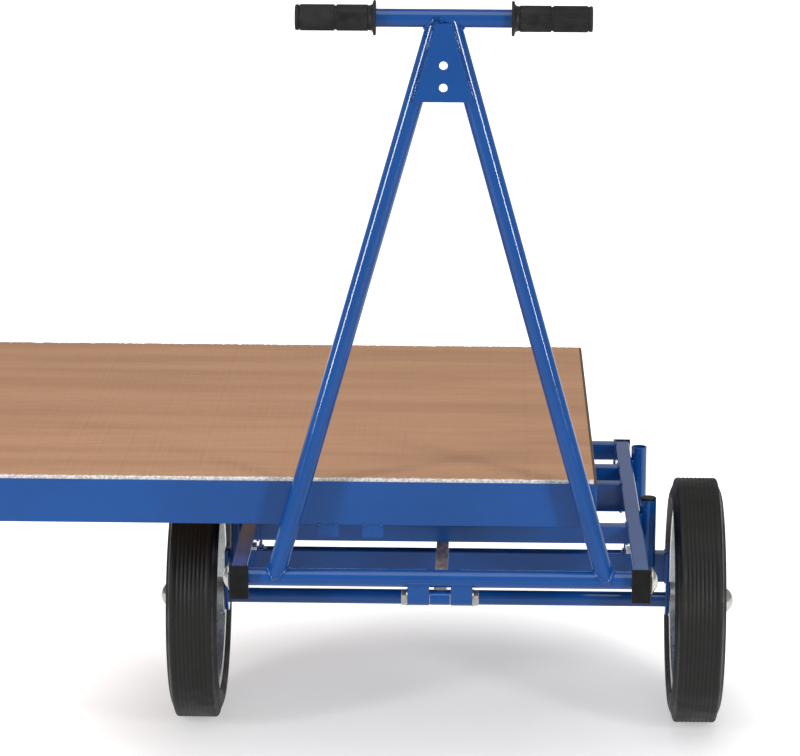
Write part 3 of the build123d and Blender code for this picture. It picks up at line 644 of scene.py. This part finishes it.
class HANDCART_OT_wheels(bpy.types.Operator):
    """Make the grooved tyres, pressed rims and hubs of all four wheels"""
    bl_idname = "handcart.wheels"
    bl_label = "Wheels"

    def execute(self, context):
        sizes = context.scene.handcart_wheel
        for place in WHEELS:
            low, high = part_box(f"{place}_tyre")
            size = high - low
            axis = X if size.x < size.y else Y
            centre = (low + high) / 2
            body = f"wheel_{place}"
            shape = bmesh.new()
            turned(shape, self.tyre_outline(sizes, size.z / 2 / MM), centre, axis, sizes.steps)
            add_piece(f"{place}_tyre_finish", shape, "tyre", body, [f"{place}_tyre"],
                      soft=math.radians(50))
            shape = bmesh.new()
            half = self.rim_half()
            turned(shape, half + [(-a, r) for a, r in reversed(half)], centre, axis, 96)
            for way in (-1, 1):
                for i in range(sizes.bolts):
                    turn = Matrix.Rotation(math.tau * (i + 0.25) / sizes.bolts, 3, axis)
                    spot = centre + turn @ (Z * sizes.bolt_circle) + axis * (way * 7 * MM)
                    hexagon(shape, spot, axis * way, 8 * MM, 6 * MM)
            add_piece(f"{place}_rim_finish", shape, "wheel_zinc", body, [f"{place}_rim"])
            shape = bmesh.new()
            turned(shape, [(-43, 17.7), (-43, 28.8), (-41.8, 30), (-12, 30), (-7.5, 33.5), (-7, 36),
                           (7, 36), (7.5, 33.5), (12, 30), (41.8, 30), (43, 28.8), (43, 17.7)],
                   centre, axis, 64)
            add_piece(f"{place}_hub_finish", shape, "wheel_zinc", body, [f"{place}_hub"])
        return {"FINISHED"}

    def tyre_outline(self, sizes, top):
        """Closed outline of a tyre with a grooved tread, ribbed shoulders and bulged walls."""
        wide, deep = sizes.groove_width / MM / 2, sizes.groove_depth / MM
        right = [(31, 152), (31, 160.8), (35.2, 160.8), (36.6, 163), (38.6, 165.2), (39.4, 168.5),
                 (40.6, 169.6), (41.5, 173.5), (42, 177.5), (41.7, 181), (40.8, 182), (40.9, 184),
                 (39.9, 185), (39.7, 187.4), (38.7, 188.4), (38.3, 190.6), (37.3, 191.6),
                 (36.6, 194.6), (35.6, 198)]
        flat, corner = 30, 5
        shoulder = arc((flat, top - corner), corner, 14, 84, 6)
        tread = [(flat, top)]
        gap = 2 * flat / (sizes.grooves + 1)
        for i in range(sizes.grooves):
            spot = flat - gap * (i + 1)
            tread += [(spot + wide + 0.5, top), (spot + wide * 0.6, top - deep),
                      (spot - wide * 0.6, top - deep), (spot - wide - 0.5, top)]
        tread.append((-flat, top))
        left = [(-a, r) for a, r in reversed(right + shoulder)]
        return right + shoulder + tread + left

    def rim_half(self):
        """Half outline of the pressed rim, from the tyre's bead to the swaged disc."""
        return [(0, 151.9), (30.8, 151.9), (30.9, 158), (31.6, 160.2), (33, 160.5), (34.3, 160),
                (34.5, 158.4), (34.2, 152.5), (33, 149), (30.5, 147.2), (9, 146.4), (5.5, 144.6),
                (3.6, 141), (3.4, 124), (4.4, 119.5), (6.6, 116.5), (7, 113), (7, 84), (6.6, 81),
                (4.4, 78), (3.4, 74), (3.4, 46), (4.4, 40), (6.8, 36.2), (0, 36.1)]


class HANDCART_OT_drawbar(bpy.types.Operator):
    """Ease the plate, the ears and the handle, and make the clevis bolt and the push rod"""
    bl_idname = "handcart.drawbar"
    bl_label = "Drawbar"

    def execute(self, context):
        add_eased("gusset_plate", 0.8 * MM)
        add_eased("clevis_ears", 0.8 * MM)
        self.rod()
        add_eased("handle_tube", 0.6 * MM)
        low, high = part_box("clevis_bolt")
        centre = (low + high) / 2
        half = (high - low).x / 2
        shape = bmesh.new()
        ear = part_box("clevis_ears")[1].x - centre.x
        turned(shape, [(-ear / MM, 0), (-ear / MM, 8), (ear / MM, 8), (ear / MM, 0)], centre, X, 40)
        for way in (-1, 1):
            turned(shape, [(ear / MM, 8), (ear / MM, 13.6), (ear / MM + 2, 13.6), (ear / MM + 2, 8)],
                   centre, X * way, 40)
            hexagon(shape, centre + X * (way * (ear + 2 * MM)), X * way, 12.8 * MM,
                    half - ear - 2 * MM)
        add_piece("clevis_bolt_finish", shape, "zinc_fasteners", "drawbar", ["clevis_bolt"])
        return {"FINISHED"}

    def rod(self):
        """The bar in bare steel, and its knuckle in the frame's paint."""
        add_eased("push_rod", 1.2 * MM, "bare_steel")
        pin = middle("clevis_bolt")
        shape = bmesh.new()
        turned(shape, [(-16.2, 8.1), (-16.2, 10.9), (-15.4, 11.7), (15.4, 11.7), (16.2, 10.9),
                       (16.2, 8.1)], pin, X, 48)
        add_piece("push_rod_knuckle", shape, "blue_frame", "push_rod")


class HANDCART_OT_grips(bpy.types.Operator):
    """Make the two ribbed rubber grips"""
    bl_idname = "handcart.grips"
    bl_label = "Grips"

    def execute(self, context):
        ribs = context.scene.handcart_drawbar.grip_ribs
        tube = middle("handle_tube")
        for name, way in (("grip_left", -1), ("grip_right", 1)):
            low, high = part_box(name)
            inner = (low.x if way > 0 else high.x)
            start = Vector((inner, tube.y, tube.z))
            long = (high.x - low.x) / MM
            shape = bmesh.new()
            turned(shape, self.outline(long), start, X * way, ribs * 4)
            mid = long / 2
            for v in shape.verts:
                along = abs(v.co.x - inner) / MM
                out = Vector((0, v.co.y - tube.y, v.co.z - tube.z))
                held = 13 < along < long - 8 and abs(along - mid) > 1.6
                if held and out.length > 19 * MM:
                    turn = math.atan2(out.z, out.y) / math.tau * ribs
                    if turn % 1 < 0.5:
                        v.co -= out.normalized() * (0.9 * MM)
            add_piece(f"{name}_finish", shape, "grip_rubber", "drawbar", [name],
                      soft=math.radians(40))
        return {"FINISHED"}

    def outline(self, long):
        """Closed outline of one grip from its hand stop to its closed end."""
        mid = long / 2
        return [(0, 14.05), (0, 25.6), (0.8, 26.8), (2.2, 27), (3.8, 26.6), (4.6, 25), (5.4, 21.4),
                (8, 19.4), (12, 18.9), (12.8, 19.9), (13.6, 20.1),
                (mid - 2, 20.1), (mid - 1.3, 18.4), (mid + 1.3, 18.4), (mid + 2, 20.1),
                (long - 8, 20.1), (long - 7.2, 18.8), (long - 6.4, 18.2), (long - 5.8, 19.2),
                (long - 4.6, 19.6), (long - 1.6, 19.6), (long - 0.4, 19), (long, 17.6), (long, 0),
                (long - 3.4, 0), (long - 3.4, 14.05)]


class HANDCART_OT_welds(bpy.types.Operator):
    """Lay the weld beads and their spatter on the drawbar, the bogie and the deck"""
    bl_idname = "handcart.welds"
    bl_label = "Welds"

    def execute(self, context):
        sizes = context.scene.handcart_drawbar
        dice = random.Random(7)
        self.drawbar(sizes, dice)
        self.bogie(sizes.bead, dice)
        self.deck(sizes.bead, dice)
        return {"FINISHED"}

    def saddle(self, foot, run, leg_radius, tube, tube_radius, start, end, steps=56):
        """Where a leaning round leg meets a round tube that lies along X."""
        side = Y
        other = run.cross(side)
        path = []
        for i in range(steps):
            turn = math.radians(start + (end - start) * i / steps)
            p = foot + side * (leg_radius * math.cos(turn)) + other * (leg_radius * math.sin(turn))
            dy, dz = p.y - tube.y, p.z - tube.z
            a = run.y**2 + run.z**2
            b = dy * run.y + dz * run.z
            c = dy * dy + dz * dz - tube_radius**2
            root = b * b - a * c
            s = (-b + math.sqrt(max(0.0, root))) / a
            path.append(p + run * s)
        return path

    def drawbar(self, sizes, dice, step=2.4 * MM):
        """Seams of both legs, the gusset plate's stitches and the clevis ears."""
        shape = bmesh.new()
        cross, handle = middle("cross_tube"), middle("handle_tube")
        front = -Y * (14.6 * MM)
        stitches = ((1211, 1180), (1134, 1106))
        for way in (-1, 1):
            foot = cross + X * (way * sizes.leg_foot)
            head = handle + X * (way * sizes.leg_head)
            run = (head - foot).normalized()
            path = self.saddle(foot, run, sizes.leg_radius, cross, sizes.tube_radius, 0, 360)
            bead(shape, path, sizes.bead, True, dice)
            start, end = (-100, 100) if way > 0 else (80, 280)
            path = self.saddle(head, -run, sizes.leg_radius, handle, sizes.tube_radius, start, end)
            bead(shape, path, sizes.bead, False, dice)
            spatter(shape, foot + run * (17 * MM) + front, -Y, 9 * MM, sizes.flecks, dice)
            spatter(shape, head - run * (20 * MM) + front, -Y, 7 * MM, sizes.flecks, dice)
            for stitch in stitches:
                ends = []
                for z in stitch:
                    share = (z * MM - foot.z) / (head.z - foot.z)
                    leg_x = foot.x + (head.x - foot.x) * share
                    ends.append(Vector((leg_x + way * 1.6 * MM, foot.y - 15.8 * MM, z * MM)))
                bead(shape, straight(ends[0], ends[1], step), sizes.bead, False, dice, 0.24)
            spatter(shape, ends[0], -Y, 8 * MM, sizes.flecks, dice)
        low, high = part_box("clevis_ears")
        mid = (low.x + high.x) / 2
        ear_in, ear_out = 17 * MM, 51 * MM
        z = cross.z - 6 * MM
        for way in (-1, 1):
            for y in (low.y, high.y):
                run = straight(Vector((mid + way * ear_in, y, z)),
                               Vector((mid + way * ear_out, y, z)), 2 * MM)
                bead(shape, run, sizes.bead * 0.8, False, dice)
            spot = Vector((mid + way * (ear_in + ear_out) / 2, low.y - 0.2 * MM, z - 4 * MM))
            spatter(shape, spot, -Y, 7 * MM, 5, dice)
        add_piece("drawbar_welds", shape, "blue_frame", "drawbar", soft=math.radians(60))

    def bogie(self, radius, dice, step=2.2 * MM):
        """Seams of the cross members, sleeves, hangers, end plates and bearers."""
        shape = bmesh.new()
        for way in (-1, 1):
            for y, tall in MEMBERS:
                seam = frame_seam(at(way * RAIL_INNER, y, RAIL_TOP - tall / 2), Y, Z,
                                  TUBE_HALF * MM, tall / 2 * MM, step)
                bead(shape, seam, radius * 0.75, True, dice)
            for y in (-SLEEVE_Y, SLEEVE_Y):
                for side in (-1, 1):
                    x, y0 = way * 329.2, y + side * 6.2
                    bead(shape, straight(at(x, y0, 322), at(x, y0, 362), step), radius, False, dice)
            for z in (316.5, 288.5):
                seam = frame_seam(at(way * RAIL_X, AXLE_Y, z), X, Y, TUBE_HALF * MM,
                                  TUBE_HALF * MM, step)
                bead(shape, seam, radius * 0.7, True, dice)
            seam = frame_seam(at(AXLE_MID_X + way * END_PLATE_X, AXLE_Y, BEAM_Z), Y, Z,
                              TUBE_HALF * MM, BEAM_HALF * MM, step)
            bead(shape, seam, radius * 0.75, True, dice)
            for x in (-BEARER_X, BEARER_X):
                seam = frame_seam(at(x, -134 + way * 122, MEMBER_Z), X, Z, TUBE_HALF * MM,
                                  15 * MM, step)
                bead(shape, seam, radius * 0.7, True, dice)
        add_piece("bogie_welds", shape, "blue_frame", "bogie", soft=math.radians(60))

    def deck(self, radius, dice, step=2.4 * MM):
        """Seams of the lugs, end rails, deck bearers and rear posts."""
        shape = bmesh.new()
        for x in LUG_X:
            for side in (-1, 1):
                edge = x + side * 16
                run = straight(at(edge - side * 6, -DECK_HALF - 0.5, DECK_BOTTOM - 0.5),
                               at(edge, -DECK_HALF - 0.5, DECK_BOTTOM - 0.5), step)
                bead(shape, run, radius * 0.9, False, dice)
            spatter(shape, at(x, -DECK_HALF - 0.3, DECK_BOTTOM - 5), -Y, 8 * MM, 6, dice)
        rail_low, rail_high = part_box("deck_end_rails")
        for y in (rail_low.y + 1.2 * MM, rail_high.y - 1.2 * MM):
            for x in (rail_low.x + 5 * MM, rail_high.x - 5 * MM):
                run = straight(Vector((x, y, 427 * MM)), Vector((x, y, 474 * MM)), step)
                bead(shape, run, radius * 0.8, False, dice)
        for x in DECK_BEARERS:
            for side in (-1, 1):
                run = straight(at(x - 18, side * 465, DECK_BOTTOM + 0.6),
                               at(x + 18, side * 465, DECK_BOTTOM + 0.6), step)
                bead(shape, run, radius * 0.8, False, dice)
        for side in (-1, 1):
            for z in (289, DECK_BOTTOM - 0.6):
                seam = frame_seam(at(REAR_X, side * POST_Y, z), X, Y, POST_HALF * MM,
                                  POST_HALF * MM, step)
                bead(shape, seam, radius * 0.8, True, dice)
            seam = frame_seam(at(REAR_X, side * END_PLATE_X, BEAM_Z), X, Z, TUBE_HALF * MM,
                              BEAM_HALF * MM, step)
            bead(shape, seam, radius * 0.75, True, dice)
        add_piece("deck_welds", shape, "blue_frame", "deck", soft=math.radians(60))


class HANDCART_OT_stage(bpy.types.Operator):
    """Set up the pale floor, the soft lights and the camera"""
    bl_idname = "handcart.stage"
    bl_label = "Stage"

    def execute(self, context):
        sizes = context.scene.handcart_stage
        self.floor()
        self.lights(context, sizes)
        self.camera(context, sizes)
        return {"FINISHED"}

    def floor(self):
        """Pale floor that glows softly: white round the cart, with a painted shadow where its glow
        dims below the cart and painted shade where it fades out in front of it.
        """
        made, tree, shader, place = blank("pale_floor")
        grit = spread(tree, cloud(tree, place, 60, 3), 0.3, 0.7)
        tree.links.new(blend(tree, grit, (0.57, 0.57, 0.575), (0.59, 0.59, 0.595)),
                       shader.inputs["Base Color"])
        shader.inputs["Roughness"].default_value = 0.9
        shader.inputs["Specular IOR Level"].default_value = 0.1
        shader.inputs["Emission Color"].default_value = (1, 1, 1, 1)
        parts = add_node(tree, "ShaderNodeSeparateXYZ", Vector=place).outputs
        # Painted shadow: the glow is dimmest within a ring round a point just in front of the
        # steering axis, under the cart. It rises away from there, which paints out the deck's own
        # cast shadow at its side.
        east = sums(tree, "SUBTRACT", parts["X"], STEER_X)
        north = sums(tree, "SUBTRACT", parts["Y"], STEER_Y - 0.22)
        away = sums(tree, "SQRT", sums(tree, "ADD", sums(tree, "MULTIPLY", east, east),
                                       sums(tree, "MULTIPLY", north, north)), 0.0)
        shadowed_glow = spread(tree, away, 0.42, 0.78, 0.42, 0.92)
        # Painted shade: the glow fades to nothing in front of the cart, so the paint reflects and
        # takes less light from that side.
        front_shade = spread(tree, parts["Y"], -1.0, -0.38, 0.0, 1.0)
        tree.links.new(sums(tree, "MULTIPLY", shadowed_glow, front_shade), shader.inputs["Emission Strength"])
        shape = bmesh.new()
        bmesh.ops.create_grid(shape, x_segments=8, y_segments=8, size=60)
        mesh = bpy.data.meshes.new("floor")
        shape.to_mesh(mesh)
        shape.free()
        mesh.materials.append(made)
        ground = bpy.data.objects.new("floor", mesh)
        bpy.context.scene.collection.objects.link(ground)

    def lights(self, context, sizes):
        world = bpy.data.worlds.new("pale surroundings")
        context.scene.world = world
        world.use_nodes = True
        sky = world.node_tree.nodes["Background"]
        sky.inputs["Color"].default_value = (1, 1, 1, 1)
        sky.inputs["Strength"].default_value = sizes.sky
        context.scene.view_settings.view_transform = "Standard"
        key = bpy.data.lights.new("key", "SUN")
        key.energy = sizes.key
        key.angle = math.radians(50)
        self.aim(context, "key", key, Vector((-0.5, -1.3, 4.5)), Vector((0, 0, 0)))
        for name, x, y in (("strip left", -1.83, -2.22), ("strip right", 2.75, -2.62)):
            strip = bpy.data.lights.new(name, "AREA")
            strip.shape = "RECTANGLE"
            strip.size, strip.size_y = 0.45, 1.3
            strip.energy = sizes.strips
            self.aim(context, name, strip, Vector((x, y, 1.25)), Vector((0.63, -0.5, 0.9)))

    def aim(self, context, name, light, place, target):
        made = bpy.data.objects.new(name, light)
        made.location = place
        made.rotation_mode = "QUATERNION"
        made.rotation_quaternion = (target - place).to_track_quat("-Z", "Y")
        context.scene.collection.objects.link(made)

    def camera(self, context, sizes):
        view = bpy.data.cameras.new("camera")
        view.sensor_width = 36
        view.lens = sizes.lens
        view.clip_start, view.clip_end = 0.1, 200
        made = bpy.data.objects.new("camera", view)
        ahead = Vector((-math.sin(sizes.yaw) * math.cos(sizes.pitch),
                        math.cos(sizes.yaw) * math.cos(sizes.pitch), -math.sin(sizes.pitch)))
        level = Vector((math.cos(sizes.yaw), math.sin(sizes.yaw), 0))
        above = level.cross(ahead)
        right = math.cos(sizes.roll) * level + math.sin(sizes.roll) * above
        up = math.cos(sizes.roll) * above - math.sin(sizes.roll) * level
        turn = Matrix((right, up, -ahead)).transposed().to_4x4()
        made.matrix_world = Matrix.Translation(Vector(sizes.eye)) @ turn
        context.scene.collection.objects.link(made)
        bpy.context.scene.camera = made


class HANDCART_PT_sidebar(bpy.types.Panel):
    """Lists the cart's steps and sizes"""
    bl_idname = "HANDCART_PT_sidebar"
    bl_label = "Platform handcart"
    bl_space_type = "VIEW_3D"
    bl_region_type = "UI"
    bl_category = "Handcart"

    def draw(self, context):
        layout = self.layout
        for operator in OPERATORS:
            layout.operator(operator.bl_idname)
        for group in GROUPS:
            held = getattr(context.scene, group)
            box = layout.box()
            for key in held.bl_rna.properties.keys():
                if key not in ("rna_type", "name"):
                    box.prop(held, key)


OPERATORS = (
    HANDCART_OT_finishes, HANDCART_OT_deck, HANDCART_OT_turntable, HANDCART_OT_bogie,
    HANDCART_OT_caps, HANDCART_OT_wheels, HANDCART_OT_drawbar, HANDCART_OT_grips,
    HANDCART_OT_welds, HANDCART_OT_stage,
)
GROUPS = {
    "handcart_colours": HandcartColours,
    "handcart_wheel": HandcartWheel,
    "handcart_drawbar": HandcartDrawbar,
    "handcart_stage": HandcartStage,
}


def register():
    for name, group in GROUPS.items():
        bpy.utils.register_class(group)
        setattr(bpy.types.Scene, name, PointerProperty(type=group))
    for made in (*OPERATORS, HANDCART_PT_sidebar):
        bpy.utils.register_class(made)


def unregister():
    for made in reversed((*OPERATORS, HANDCART_PT_sidebar)):
        bpy.utils.unregister_class(made)
    for name, group in reversed(GROUPS.items()):
        delattr(bpy.types.Scene, name)
        bpy.utils.unregister_class(group)


def main():
    register()
    for operator in OPERATORS:
        step = operator.bl_idname.split(".")[1]
        getattr(bpy.ops.handcart, step)()


if __name__ == "__main__":
    main()
